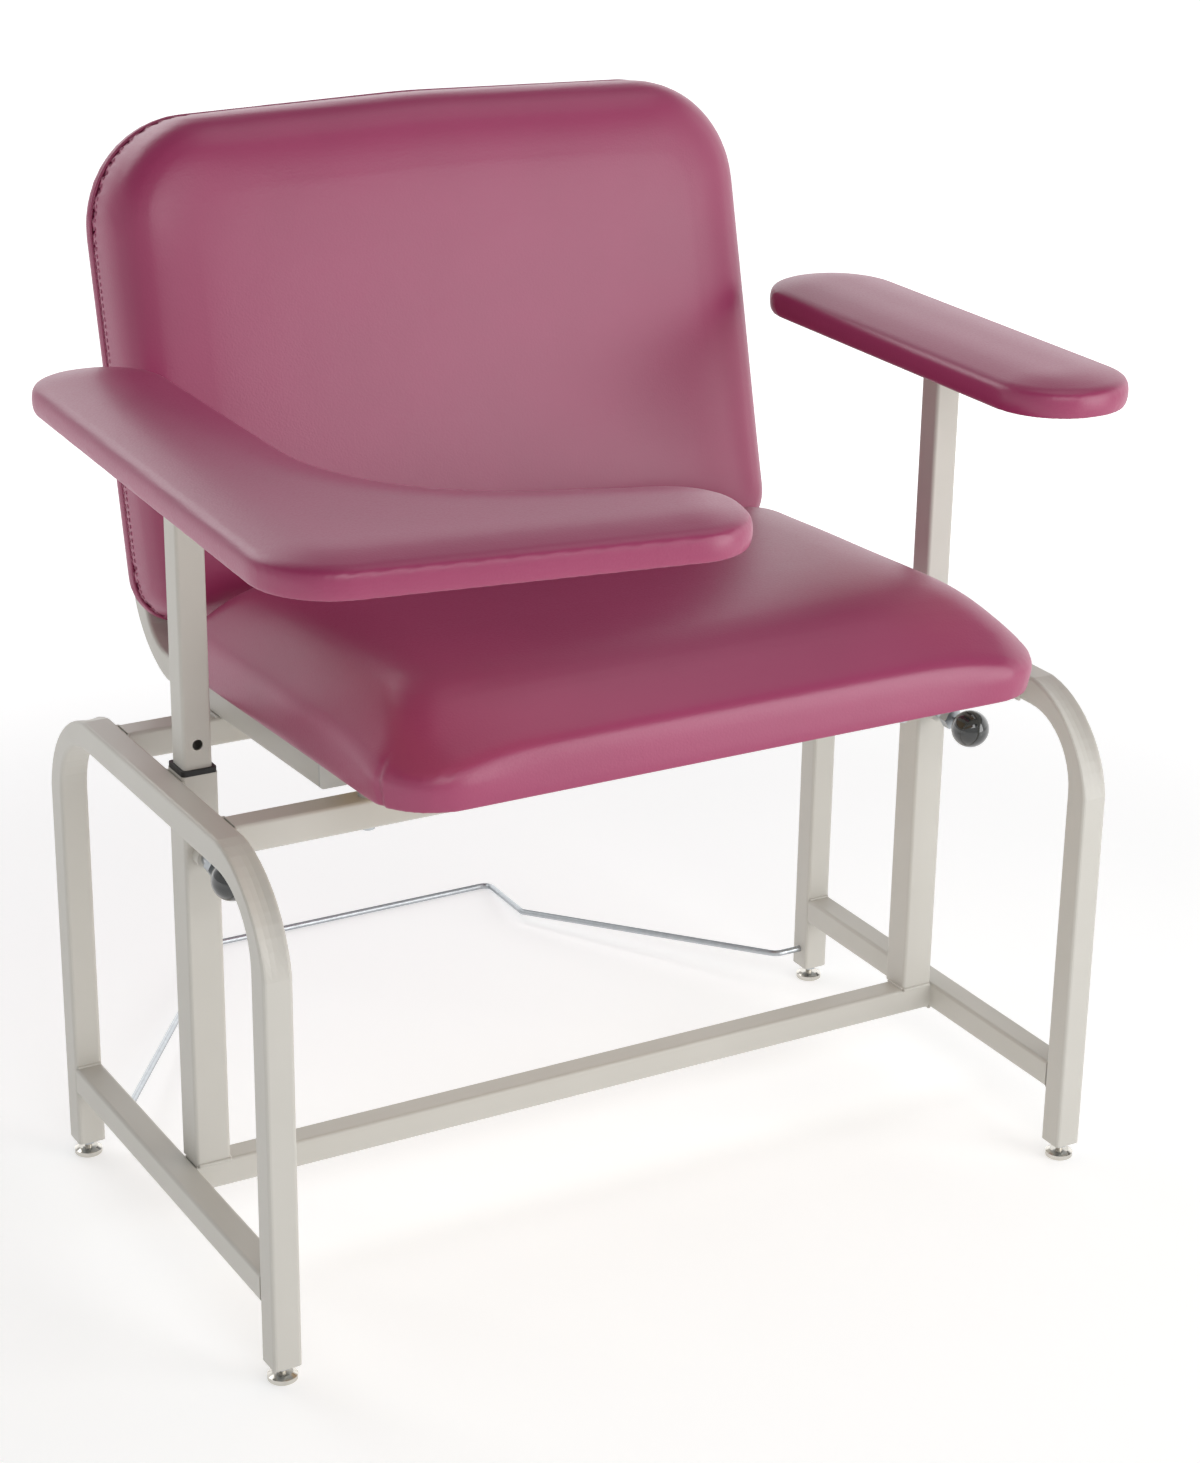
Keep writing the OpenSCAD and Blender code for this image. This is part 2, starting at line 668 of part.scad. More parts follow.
// Straight arm: a pad with round ends, centred on its post
arm_end_share = 0.98;
arm_edge = 9;
arm_tuck = 3;
arm_side_share = 0.3;
arm_shoulder_share = 0.95;
arm_crown = 26;
arm_board_inset = 5;
arm_section = pad_section(arm_t, arm_edge, arm_tuck, arm_side_share * arm_t, arm_shoulder_share * arm_t, arm_crown);
straight_points = rectangle(arm_w, arm_l, arm_back_shift);
straight_radii = [for (i = [0 : 3]) arm_end_share * arm_w / 2];
module right_arm_board() {
    color(plywood) difference() {
        translate([sleeve_x, 0, arm_under_z]) board(straight_points, straight_radii, arm_board_inset, arm_board_t);
        arm_screw_shapes(1);
    }
}
module right_arm_cushion() {
    color(vinyl) translate([sleeve_x, 0, arm_under_z]) difference() {
        pad(straight_points, straight_radii, arm_section);
        translate([0, 0, -over]) board(straight_points, straight_radii, arm_board_inset, arm_board_t + over);
    }
}

// L-shaped arm: the limb over the post runs forward into a wing that reaches across the seat
wing_outer_rear = 60;
wing_outer_front = 81;
wing_inner_rear = 54;
wing_inner_front = 50;
wing_crook_y = 217;
wing_tip_front = [-16, -419];
wing_tip_back = [11, -306];
wing_points = [
    [wing_inner_front, -wing_crook_y],
    [wing_inner_rear, wing_rear],
    [-wing_outer_rear, wing_rear],
    [-wing_outer_front, -wing_front],
    wing_tip_front + [wing_reach, 0],
    wing_tip_back + [wing_reach, 0]
];
wing_crook_r = 190;
wing_rear_r = 55;
wing_outer_r = 66;
wing_tip_r = 55;
wing_radii = [wing_crook_r, wing_rear_r, wing_rear_r, wing_outer_r, wing_tip_r, wing_tip_r];
module left_arm_board() {
    color(plywood) difference() {
        translate([-sleeve_x, 0, arm_under_z]) difference() {
            board(wing_points, wing_radii, arm_board_inset, arm_board_t);
            translate([0, 0, -over]) cylinder(d = recess_d, h = stud_rise + 2 * over);
        }
        arm_screw_shapes(-1);
    }
}
module left_arm_cushion() {
    color(vinyl) translate([-sleeve_x, 0, arm_under_z]) difference() {
        pad(wing_points, wing_radii, arm_section);
        translate([0, 0, -over]) board(wing_points, wing_radii, arm_board_inset, arm_board_t + over);
    }
}

// Plungers. Their axis starts on the sleeve's front face and runs forward.
module at_plunger(side) {
    translate([side * sleeve_x, -sleeve / 2, plunger_z]) rotate([90, 0, 0]) children();
}
boss_d = 19;
boss_l = 11;
barrel_d = 12.7;
barrel_l = 24;
hex_l = 10;
body_l = barrel_l + hex_l;
nose_l = 6;
end_wall = 4;
chamber_d = 10.3;
stem_d = 5;
pin_tip_depth = 5;
pin_tip_chamfer = 1.2;
pin_collar_t = 2;
stem_in_knob = 9;
knob_flat_share = 0.91;
pin_tip_z = -(sleeve - tube) / 2 - pin_tip_depth;
knob_flat_z = body_l + knob_gap;
knob_reach = knob_flat_z + knob_flat_share * knob_d / 2;
spring_wire_d = 1;
spring_turns = 6;
spring_steps = 8;
spring_sides = 6;
spring_gap = 0.1;
module plunger_boss(side) {
    color(putty) at_plunger(side) difference() {
        cylinder(d = boss_d, h = boss_l);
        translate([0, 0, -over]) cylinder(d = barrel_d, h = boss_l + 2 * over);
    }
}
module left_plunger_boss() { plunger_boss(-1); }
module right_plunger_boss() { plunger_boss(1); }
module plunger_body(side) {
    color(zinc) at_plunger(side) difference() {
        union() {
            cylinder(d = barrel_d, h = body_l);
            translate([0, 0, barrel_l]) cylinder(d = plunger_hex / cos(30), h = hex_l, $fn = 6);
        }
        translate([0, 0, -over]) cylinder(d = pin_d + 2 * running_gap, h = nose_l + 2 * over);
        translate([0, 0, nose_l]) cylinder(d = chamber_d, h = body_l - nose_l - end_wall);
        translate([0, 0, body_l - end_wall - over]) cylinder(d = stem_d + 2 * running_gap, h = end_wall + 2 * over);
    }
}
module left_plunger_body() { plunger_body(-1); }
module right_plunger_body() { plunger_body(1); }
module plunger_pin(side) {
    color(zinc) at_plunger(side) {
        translate([0, 0, pin_tip_z + pin_tip_chamfer]) cylinder(d = pin_d, h = nose_l - pin_tip_z - pin_tip_chamfer);
        translate([0, 0, pin_tip_z]) cylinder(d1 = pin_d - 2 * pin_tip_chamfer, d2 = pin_d, h = pin_tip_chamfer);
        translate([0, 0, nose_l]) cylinder(d = chamber_d - 2 * running_gap, h = pin_collar_t);
        translate([0, 0, nose_l]) cylinder(d = stem_d, h = knob_flat_z + stem_in_knob - nose_l);
    }
}
module left_plunger_pin() { plunger_pin(-1); }
module right_plunger_pin() { plunger_pin(1); }

// Coil spring between the pin's collar and the body's end wall
spring_from = nose_l + pin_collar_t + spring_gap + spring_wire_d / 2;
spring_to = body_l - end_wall - spring_gap - spring_wire_d / 2;
spring_r = (chamber_d + stem_d) / 4;
function coil_ring(t) = let (a = 360 * spring_turns * t, z = spring_from + (spring_to - spring_from) * t) [
    for (k = [0 : spring_sides - 1]) let (b = 360 * k / spring_sides, r = spring_r + spring_wire_d / 2 * cos(b))
        [r * cos(a), r * sin(a), z + spring_wire_d / 2 * sin(b)]
];
module plunger_spring(side) {
    rings = spring_turns * spring_steps;
    color(zinc) at_plunger(side) skin([for (k = [0 : rings]) coil_ring(k / rings)]);
}
module left_plunger_spring() { plunger_spring(-1); }
module right_plunger_spring() { plunger_spring(1); }
module plunger_knob(side) {
    color(smoked_plastic) at_plunger(side) difference() {
        translate([0, 0, knob_reach]) sphere(d = knob_d);
        translate([-knob_d / 2, -knob_d / 2, knob_flat_z - knob_d]) cube(knob_d);
        translate([0, 0, knob_flat_z - over]) cylinder(d = stem_d, h = stem_in_knob + over);
    }
}
module left_plunger_knob() { plunger_knob(-1); }
module right_plunger_knob() { plunger_knob(1); }

// Feet: threaded inserts in the legs, jam nuts and glides
insert_gap = 0.2;
insert_top_gap = 1.8;
insert_l = guard_hinge_z - guard_d / 2 - insert_top_gap - leg_end_z;
glide_nut_flats = 11.1;
glide_nut_t = 5.5;
glide_edge = 1;
glide_shoulder = 4;
glide_shoulder_share = 0.7;
stem_bore_d = glide_stem_d + 2 * running_gap;
module at_feet() {
    for (x = sides, y = sides) {
        translate([x * side_x, y * leg_y, 0]) children();
    }
}
module leg_inserts() {
    color(zinc) at_feet() translate([0, 0, leg_end_z]) difference() {
        linear_extrude(insert_l) tube_outline(tube - 2 * tube_wall - 2 * insert_gap, tube_corner_r);
        translate([0, 0, -over]) cylinder(d = stem_bore_d, h = insert_l + 2 * over);
    }
}
module glide_nuts() {
    color(zinc) at_feet() translate([0, 0, leg_end_z - glide_nut_t]) difference() {
        cylinder(d = glide_nut_flats / cos(30), h = glide_nut_t, $fn = 6);
        translate([0, 0, -over]) cylinder(d = stem_bore_d, h = glide_nut_t + 2 * over);
    }
}
module glide(x, y) {
    color(nickel) translate([x * side_x, y * leg_y, 0]) {
        rotate_extrude() polygon([
            [0, 0],
            [glide_d / 2 - glide_edge, 0],
            [glide_d / 2, glide_edge],
            [glide_d / 2, glide_shoulder_share * glide_h],
            [glide_d / 2 - glide_shoulder, glide_h],
            [0, glide_h]
        ]);
        cylinder(d = glide_stem_d, h = leg_end_z + insert_l);
    }
}
module front_left_glide() { glide(-1, -1); }
module front_right_glide() { glide(1, -1); }
module rear_left_glide() { glide(-1, 1); }
module rear_right_glide() { glide(1, 1); }

// Wall guard: one bent wire, hinged in the rear legs and resting on the floor.
// Its route is [across, distance from the hinge].
guard_pin_inset = 28.1;
guard_pin_x = inner_face_x - guard_pin_inset;
guard_pin_in = 8;
guard_left_x = -114;
guard_right_x = 205;
guard_kink_x = 195;
guard_kink = 97;
guard_r = 10;
guard_slope = asin((guard_hinge_z - guard_d / 2) / guard_reach);
guard_route = [
    [-inner_face_x, 0],
    [-guard_pin_x, 0],
    [guard_left_x, guard_reach],
    [guard_right_x, guard_reach],
    [guard_kink_x, guard_reach - guard_kink],
    [guard_pin_x, 0],
    [inner_face_x, 0]
];
guard_bend_steps = 4;
guard_sides = 12;
guard_ring_share = 0.98;
function guard_half_turn(i) =
    acos(unit(guard_route[i] - guard_route[i - 1]) * unit(guard_route[i + 1] - guard_route[i])) / 2;
// Points along the rounded route, as [across, distance, direction of travel]
guard_pin_end = guard_pin_x + guard_r * tan(guard_half_turn(1)) + guard_d;
guard_stations = [
    [-guard_pin_end, 0, 0],
    for (i = [1 : len(guard_route) - 2]) let (
        d1 = unit(guard_route[i] - guard_route[i - 1]),
        d2 = unit(guard_route[i + 1] - guard_route[i]),
        side = d1.x * d2.y - d1.y * d2.x > 0 ? 1 : -1,
        half_turn = guard_half_turn(i),
        centre = guard_route[i] - d1 * guard_r * tan(half_turn) + left_of(d1) * guard_r * side
    ) for (k = [0 : guard_bend_steps]) let (
        a = atan2(d1.y, d1.x) + side * 2 * half_turn * k / guard_bend_steps
    ) [centre.x + guard_r * side * sin(a), centre.y - guard_r * side * cos(a), a],
    [guard_pin_end, 0, 0]
];
function guard_ring(s) = [
    for (k = [0 : guard_sides - 1]) let (b = 360 * k / guard_sides, r = guard_ring_share * guard_d / 2)
        [s.x + r * cos(b) * sin(s[2]), s.y - r * cos(b) * cos(s[2]), r * sin(b)]
];
module wall_guard_rod() {
    color(zinc) translate([0, leg_y, guard_hinge_z]) rotate([-guard_slope, 0, 0]) {
        skin([for (s = guard_stations) guard_ring(s)]);
        for (side = sides) {
            translate([side * guard_pin_end, 0, 0]) rotate([0, side * 90, 0])
                cylinder(d = guard_d, h = inner_face_x + guard_pin_in - guard_pin_end);
        }
    }
}

left_side_frame();
right_side_frame();
left_lower_rail();
right_lower_rail();
front_cross_rail();
rear_cross_rail();
lower_stretcher();
left_post_sleeve();
right_post_sleeve();
left_sleeve_collar();
right_sleeve_collar();
left_seat_back_tube();
right_seat_back_tube();
tube_end_plugs();
seat_stand_offs();
seat_board();
seat_cushion();
seat_bolts();
back_board();
back_cushion();
back_rear_cover();
back_bolts();
left_arm_post();
right_arm_post();
left_post_guide();
right_post_guide();
left_pivot_cap();
left_pivot_washer();
left_pivot_nut();
left_arm_plate();
right_arm_plate();
left_arm_board();
right_arm_board();
left_arm_cushion();
right_arm_cushion();
left_arm_screws();
right_arm_screws();
left_plunger_boss();
right_plunger_boss();
left_plunger_body();
right_plunger_body();
left_plunger_pin();
right_plunger_pin();
left_plunger_spring();
right_plunger_spring();
left_plunger_knob();
right_plunger_knob();
leg_inserts();
glide_nuts();
front_left_glide();
front_right_glide();
rear_left_glide();
rear_right_glide();
wall_guard_rod();
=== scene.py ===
import math

import bmesh
import bpy
import numpy as np
from mathutils import Matrix, Vector
from mathutils.bvhtree import BVHTree
from mathutils.kdtree import KDTree


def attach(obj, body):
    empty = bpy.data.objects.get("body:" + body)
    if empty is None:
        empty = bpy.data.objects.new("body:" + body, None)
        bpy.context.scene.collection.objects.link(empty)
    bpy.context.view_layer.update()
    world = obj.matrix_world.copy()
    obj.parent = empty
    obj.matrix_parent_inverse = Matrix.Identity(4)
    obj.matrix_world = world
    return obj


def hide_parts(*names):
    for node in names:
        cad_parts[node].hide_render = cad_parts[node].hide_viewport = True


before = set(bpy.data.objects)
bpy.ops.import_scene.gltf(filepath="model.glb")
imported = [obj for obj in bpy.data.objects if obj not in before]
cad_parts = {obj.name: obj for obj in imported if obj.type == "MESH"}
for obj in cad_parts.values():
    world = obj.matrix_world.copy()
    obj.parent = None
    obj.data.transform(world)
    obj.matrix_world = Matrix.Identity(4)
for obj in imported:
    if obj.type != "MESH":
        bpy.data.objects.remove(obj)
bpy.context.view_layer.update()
mm = 0.001

# Camera
# A long lens, to the front left of the chair and above it, as in the photograph. Its place and turn
# come from the straight tubes of the frame, and the shift puts the chair where the picture has it.
image_w, image_h = 1200, 1463
focal_px = 3233.4
centre_px = (706.6, 797.5)
camera_place = Vector((-1.2976, -2.3071, 1.4647))
camera_turn = math.radians(-31.75)
camera_tilt = math.radians(22.64)
camera_roll = math.radians(1.66)
back = Vector((math.sin(camera_turn) * math.cos(camera_tilt),
               -math.cos(camera_turn) * math.cos(camera_tilt),
               math.sin(camera_tilt)))
right = Vector((math.cos(camera_turn), math.sin(camera_turn), 0))
upward = back.cross(right)
across = right * math.cos(camera_roll) + upward * math.sin(camera_roll)
upright = upward * math.cos(camera_roll) - right * math.sin(camera_roll)
camera_axes = Matrix((across, upright, back)).transposed().to_4x4()
lens = bpy.data.cameras.new("camera")
lens.sensor_fit = "VERTICAL"
lens.sensor_height = 36
lens.lens = focal_px / image_h * lens.sensor_height
lens.shift_x = (image_w / 2 - centre_px[0]) / image_h
lens.shift_y = (centre_px[1] - image_h / 2) / image_h
camera = bpy.data.objects.new("camera", lens)
camera.matrix_world = Matrix.Translation(camera_place) @ camera_axes
bpy.context.collection.objects.link(camera)
bpy.context.scene.camera = camera

# Backdrop
# A white backdrop stands behind the chair. It fades toward the front and ends above in a dim ceiling, so
# that the tubes and the vinyl have something bright and something dark to reflect.
def linear(hex_colour):
    """An sRGB hex value as linear RGBA."""
    parts = [int(hex_colour[i:i + 2], 16) / 255 for i in (1, 3, 5)]
    return [c / 12.92 if c <= 0.04045 else ((c + 0.055) / 1.055) ** 2.4 for c in parts] + [1]


def node(tree, kind, links=(), **settings):
    """Adds a node: links maps its inputs to values or to other nodes' outputs, settings are its own."""
    made = tree.nodes.new(kind)
    for name, value in settings.items():
        setattr(made, name, value)
    for name, value in dict(links).items():
        if isinstance(value, bpy.types.NodeSocket):
            tree.links.new(value, made.inputs[name])
        else:
            made.inputs[name].default_value = value
    return made


bpy.context.scene.view_settings.view_transform = "Standard"

white = "#FFFFFF"
backdrop_light = 1.55
front_light = 0.65
backdrop_middle = (0.75, 0.66, 0)
backdrop_edge = 0.7
ceiling_light = 0.1
backdrop_top = math.sin(math.radians(26))
ceiling_from = math.sin(math.radians(38))
studio = bpy.data.worlds.new("studio")
studio.use_nodes = True
tree = studio.node_tree
tree.nodes.clear()
direction = node(tree, "ShaderNodeTexCoord")
height = node(tree, "ShaderNodeSeparateXYZ", {"Vector": direction.outputs["Generated"]})
rearward = node(tree, "ShaderNodeVectorMath", {0: direction.outputs["Generated"], 1: backdrop_middle},
                operation="DOT_PRODUCT")
wall = node(tree, "ShaderNodeMapRange",
            {"Value": rearward.outputs["Value"], "From Min": 0, "From Max": backdrop_edge,
             "To Min": front_light, "To Max": backdrop_light},
            interpolation_type="SMOOTHSTEP")
fall = node(tree, "ShaderNodeMapRange",
            {"Value": height.outputs["Z"], "From Min": backdrop_top, "From Max": ceiling_from,
             "To Min": wall.outputs["Result"], "To Max": ceiling_light},
            interpolation_type="SMOOTHSTEP")
glow = node(tree, "ShaderNodeBackground", {"Color": linear(white), "Strength": fall.outputs["Result"]})
node(tree, "ShaderNodeOutputWorld", {"Surface": glow.outputs["Background"]})
bpy.context.scene.world = studio

# Floor
# A sheet of white acrylic that glows as if lit from below. Its glow is painted light: weaker under the chair,
# which paints its soft shadow deeper, and weaker well in front of it, which darkens what the vinyl reflects
# of it. Its surface is matte, so it mirrors nothing.
def material(name):
    """An empty material, and the tree to build its shader in."""
    made = bpy.data.materials.new(name)
    made.use_nodes = True
    made.node_tree.nodes.clear()
    return made, made.node_tree


floor_half = 30
floor_white = "#E2E2E2"
# Painted light: the floor's glow, weaker near the chair for a deeper painted shadow, and weaker in front of
# it.
near_glow, far_glow = 0.45, 0.9
glow_near, glow_far = 0.9, 2.4
dim_from, dim_to = -0.9, -1.8
dim_share = 0.45
floor_corners = [(x * floor_half, y * floor_half, 0) for x, y in ((-1, -1), (1, -1), (1, 1), (-1, 1))]
floor_mesh = bpy.data.meshes.new("floor")
floor_mesh.from_pydata(floor_corners, [], [(0, 1, 2, 3)])
floor = bpy.data.objects.new("floor", floor_mesh)
bpy.context.collection.objects.link(floor)
glowing_floor, tree = material("glowing_white_floor")
spot = node(tree, "ShaderNodeTexCoord")
distance = node(tree, "ShaderNodeVectorMath", {0: spot.outputs["Object"]}, operation="LENGTH")
glow = node(tree, "ShaderNodeMapRange",
            {"Value": distance.outputs["Value"], "From Min": glow_near, "From Max": glow_far,
             "To Min": near_glow, "To Max": far_glow},
            interpolation_type="SMOOTHSTEP")
ways = node(tree, "ShaderNodeSeparateXYZ", {"Vector": spot.outputs["Object"]})
lit = node(tree, "ShaderNodeMapRange",
           {"Value": ways.outputs["Y"], "From Min": dim_to, "From Max": dim_from, "To Min": dim_share},
           interpolation_type="SMOOTHSTEP")
strength = node(tree, "ShaderNodeMath", {0: glow.outputs["Result"], 1: lit.outputs["Result"]},
                operation="MULTIPLY")
sheet = node(tree, "ShaderNodeBsdfPrincipled",
             {"Base Color": linear(floor_white), "Roughness": 0.9, "Specular IOR Level": 0.1,
              "Emission Color": linear(white), "Emission Strength": strength.outputs["Value"]})
node(tree, "ShaderNodeOutputMaterial", {"Surface": sheet.outputs["BSDF"]})
floor_mesh.materials.append(glowing_floor)

# Softboxes
# Four softboxes face the middle of the chair: one in front on the right, one in front and above, one
# overhead, and one behind on the left. Each has its place and size in metres, and how bright its cloth is.
softboxes = {
    "right": ((1.5, -2.1, 0.95), (1.5, 1.7), 3.3),
    "front": ((-0.5, -2.6, 2.2), (1.5, 1.1), 3.2),
    "overhead": ((0.75, -0.1, 2.6), (1.5, 1.3), 1.0),
    "rear_left": ((-0.75, 2.0, 2.3), (1.9, 1.0), 2.5),
}
aim = Vector((0, 0, 0.55))
for name, (place, size, radiance) in softboxes.items():
    lamp = bpy.data.lights.new(name, "AREA")
    lamp.shape = "RECTANGLE"
    lamp.size, lamp.size_y = size
    lamp.energy = math.pi * size[0] * size[1] * radiance
    box = bpy.data.objects.new(name, lamp)
    box.location = place
    box.rotation_euler = (aim - Vector(place)).to_track_quat("-Z", "Y").to_euler()
    bpy.context.collection.objects.link(box)

# Frame tubes
# Square steel tube, welded and then powder coated in a warm light grey. The coat is satin, with a faint
# orange peel of about 1.5 mm, too fine to show at the real depth, so it is drawn a little deeper.
def dress(finish, *names):
    """Gives CAD nodes that stay as they are a finish."""
    for name in names:
        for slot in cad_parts[name].material_slots:
            slot.material = finish


putty = "#C8C5BE"
putty_shade = "#C0BDB5"
putty_drift = 111 * mm
peel_pitch = 1.5 * mm
peel_depth = 0.03 * mm
powder_coat, tree = material("satin_powder_coat")
place = node(tree, "ShaderNodeTexCoord")
cloud = node(tree, "ShaderNodeTexNoise",
             {"Vector": place.outputs["Object"], "Scale": 1 / putty_drift, "Detail": 3})
tint = node(tree, "ShaderNodeMix",
            {"Factor": cloud.outputs["Fac"], "A": linear(putty), "B": linear(putty_shade)},
            data_type="RGBA")
peel = node(tree, "ShaderNodeTexNoise",
            {"Vector": place.outputs["Object"], "Scale": 1 / peel_pitch, "Detail": 2})
bump = node(tree, "ShaderNodeBump",
            {"Height": peel.outputs["Fac"], "Strength": 0.4, "Distance": peel_depth})
rough = node(tree, "ShaderNodeMapRange", {"Value": cloud.outputs["Fac"], "To Min": 0.36, "To Max": 0.46})
coat = node(tree, "ShaderNodeBsdfPrincipled",
            {"Base Color": tint.outputs["Result"], "Roughness": rough.outputs["Result"], "IOR": 1.5,
             "Normal": bump.outputs["Normal"]})
node(tree, "ShaderNodeOutputMaterial", {"Surface": coat.outputs["BSDF"]})
dress(powder_coat, "left_side_frame", "right_side_frame", "left_lower_rail", "right_lower_rail",
      "front_cross_rail", "rear_cross_rail", "lower_stretcher", "left_post_sleeve", "right_post_sleeve",
      "left_seat_back_tube", "right_seat_back_tube", "left_arm_post", "right_arm_post", "left_arm_plate",
      "right_arm_plate", "left_plunger_boss", "right_plunger_boss")

# Weld beads
# Each tube end is welded to the tube that it meets, and the coat covers the weld, so it shows as a low
# rippled ridge. A bead is swept along the joint's outline, and its rings swell once for each ripple.
tube = 25.4 * mm
frame_top = 453 * mm
side_x = 394.8 * mm
inner_face_x = side_x - tube / 2
leg_y = 216.3 * mm
rail_y = 112 * mm
lower_top = 94.5 * mm
sleeve = 31.75 * mm
sleeve_x = inner_face_x - sleeve / 2
support_x = 289 * mm
bead_r = 1.9 * mm
bead_sides = 8
ripple_pitch = 2.6 * mm
ripple_rings = 3
ripple_swell = 0.14


def skin(builder, rings):
    """Joins rings of points into a tube and closes its two ends."""
    for a, b in zip(rings, rings[1:]):
        for j in range(len(a)):
            builder.faces.new((a[j], a[(j + 1) % len(a)], b[(j + 1) % len(a)], b[j]))
    builder.faces.new(reversed(rings[0]))
    builder.faces.new(rings[-1])


def bead(builder, path):
    """Sweeps a rippled bead along a path of corner points."""
    points = [Vector(p) for p in path]
    stations = []
    for start, end in zip(points, points[1:]):
        steps = max(2, round((end - start).length / (ripple_pitch / ripple_rings)))
        stations += [start.lerp(end, k / steps) for k in range(steps + (end is points[-1]))]
    rings = []
    for k, here in enumerate(stations):
        ahead = stations[min(k + 1, len(stations) - 1)] - stations[max(k - 1, 0)]
        turn = ahead.to_track_quat("Z", "Y")
        swollen = abs(math.sin(math.pi * k / ripple_rings))
        radius = bead_r * (1 - ripple_swell + ripple_swell * swollen)
        ring = []
        for j in range(bead_sides):
            a = 2 * math.pi * j / bead_sides
            outward = Vector((radius * math.cos(a), radius * math.sin(a), 0))
            ring.append(builder.verts.new(here + turn @ outward))
        rings.append(ring)
    skin(builder, rings)


def piece_from(builder, name, finish, body):
    """Turns a builder into a piece with a finish that rides on a body."""
    bmesh.ops.recalc_face_normals(builder, faces=builder.faces)
    mesh = bpy.data.meshes.new(name)
    builder.to_mesh(mesh)
    builder.free()
    mesh.shade_smooth()
    mesh.materials.append(finish)
    made = bpy.data.objects.new(name, mesh)
    bpy.context.collection.objects.link(made)
    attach(made, body)
    return made


beads = bmesh.new()
half = tube / 2
for side in (-1, 1):
    face = side * inner_face_x
    for y in (-rail_y, rail_y):
        bottom, top = frame_top - tube, frame_top - bead_r / 2
        bead(beads, [(face, y - half, top), (face, y - half, bottom), (face, y + half, bottom),
                     (face, y + half, top)])
    for end in (-1, 1):
        y = end * (leg_y - half)
        x0, x1 = side * side_x - half, side * side_x + half
        bead(beads, [(x0 + bead_r, y, lower_top), (x1 - bead_r, y, lower_top)])
        bead(beads, [(x0 + bead_r, y, lower_top - tube), (x1 - bead_r, y, lower_top - tube)])
    front, rear = -sleeve / 2, sleeve / 2
    bead(beads, [(face, front, lower_top - tube), (face, front + tube, lower_top - tube),
                 (face, front + tube, lower_top - bead_r)])
    inside = face - side * sleeve
    bead(beads, [(inside, front + tube, lower_top), (inside, front + bead_r, lower_top)])
    bead(beads, [(inside, front, lower_top), (face - side * bead_r, front, lower_top)])
    for y in (front, rear):
        bead(beads, [(face, y, frame_top - tube), (face, y, frame_top - bead_r)])
    for x in (side * support_x - half, side * support_x + half):
        bead(beads, [(x, rail_y - half + bead_r, frame_top), (x, rail_y + half - bead_r, frame_top)])
piece_from(beads, "frame_weld_beads", powder_coat, "frame")

# Vinyl
# Upholstery vinyl in mauve, with a satin top coat that greys the colour where light grazes it, over shallow
# creases and a pressed leather grain. The real grain is under 1 mm, too fine to show, so it is 1.8 mm here.
mauve = "#9C335F"
mauve_deep = "#943059"
mauve_drift = 71.4 * mm
grain_pitch = 1.8 * mm
grain_depth = 0.15 * mm
crease_pitch = 60 * mm
crease_depth = 0.8 * mm
vinyl, tree = material("satin_upholstery_vinyl")
place = node(tree, "ShaderNodeTexCoord")
cloud = node(tree, "ShaderNodeTexNoise",
             {"Vector": place.outputs["Object"], "Scale": 1 / mauve_drift, "Detail": 4})
tint = node(tree, "ShaderNodeMix",
            {"Factor": cloud.outputs["Fac"], "A": linear(mauve), "B": linear(mauve_deep)},
            data_type="RGBA")
cells = node(tree, "ShaderNodeTexVoronoi", {"Vector": place.outputs["Object"], "Scale": 1 / grain_pitch},
             feature="SMOOTH_F1")
creases = node(tree, "ShaderNodeTexNoise",
               {"Vector": place.outputs["Object"], "Scale": 1 / crease_pitch, "Detail": 2})
broad = node(tree, "ShaderNodeBump",
             {"Height": creases.outputs["Fac"], "Strength": 0.35, "Distance": crease_depth})
bump = node(tree, "ShaderNodeBump",
            {"Height": cells.outputs["Distance"], "Strength": 0.5, "Distance": grain_depth,
             "Normal": broad.outputs["Normal"]})
rough = node(tree, "ShaderNodeMapRange",
             {"Value": cells.outputs["Distance"], "To Min": 0.34, "To Max": 0.43})
coat = node(tree, "ShaderNodeBsdfPrincipled",
            {"Base Color": tint.outputs["Result"], "Roughness": rough.outputs["Result"], "IOR": 1.52,
             "Specular IOR Level": 0.65, "Sheen Weight": 0.02, "Sheen Roughness": 0.5,
             "Normal": bump.outputs["Normal"]})
node(tree, "ShaderNodeOutputMaterial", {"Surface": coat.outputs["BSDF"]})

# Seat cushion
# Foam on a 15 mm plywood board, under one sheet of vinyl that is drawn down round the edge and stapled
# below. It rises from an upright side over a rounded ridge to a long convex slope, and has a pleat at each
# front corner. It is lofted along a rounded outline, given an even net, then blown up as cloth.
corner_steps = 12
flow_steps = 6
tightest_r = 1 * mm
air_pressure = 4
settle_frames = 20
even_steps = 60
vinyl_sheet = {"quality": 4, "mass": 0.3, "tension_stiffness": 15, "compression_stiffness": 15,
               "shear_stiffness": 5, "bending_stiffness": 2}
under_z = 0.2 * mm


def outline(points, radii, inset, steps=corner_steps, least_r=tightest_r):
    """An anticlockwise polygon with rounded corners, moved inward by the inset."""
    ring = []
    count = len(points)
    for i, (here, radius) in enumerate(zip(points, radii)):
        here = Vector(here)
        d1 = (here - Vector(points[i - 1])).normalized()
        d2 = (Vector(points[(i + 1) % count]) - here).normalized()
        n1, n2 = Vector((-d1.y, d1.x)), Vector((-d2.y, d2.x))
        turn = 1 if d1.x * d2.y - d1.y * d2.x > 0 else -1
        r = max(radius - turn * inset, least_r)
        half_turn = math.acos(max(-1, min(1, d1.dot(d2)))) / 2
        vertex = here + (n1 + n2) * inset / (1 + n1.dot(n2))
        centre = vertex - d1 * r * math.tan(half_turn) + n1 * r * turn
        start = math.atan2(-n1.y * turn, -n1.x * turn)
        for k in range(steps + 1):
            a = start + turn * 2 * half_turn * k / steps
            ring.append(centre + r * Vector((math.cos(a), math.sin(a))))
    return ring


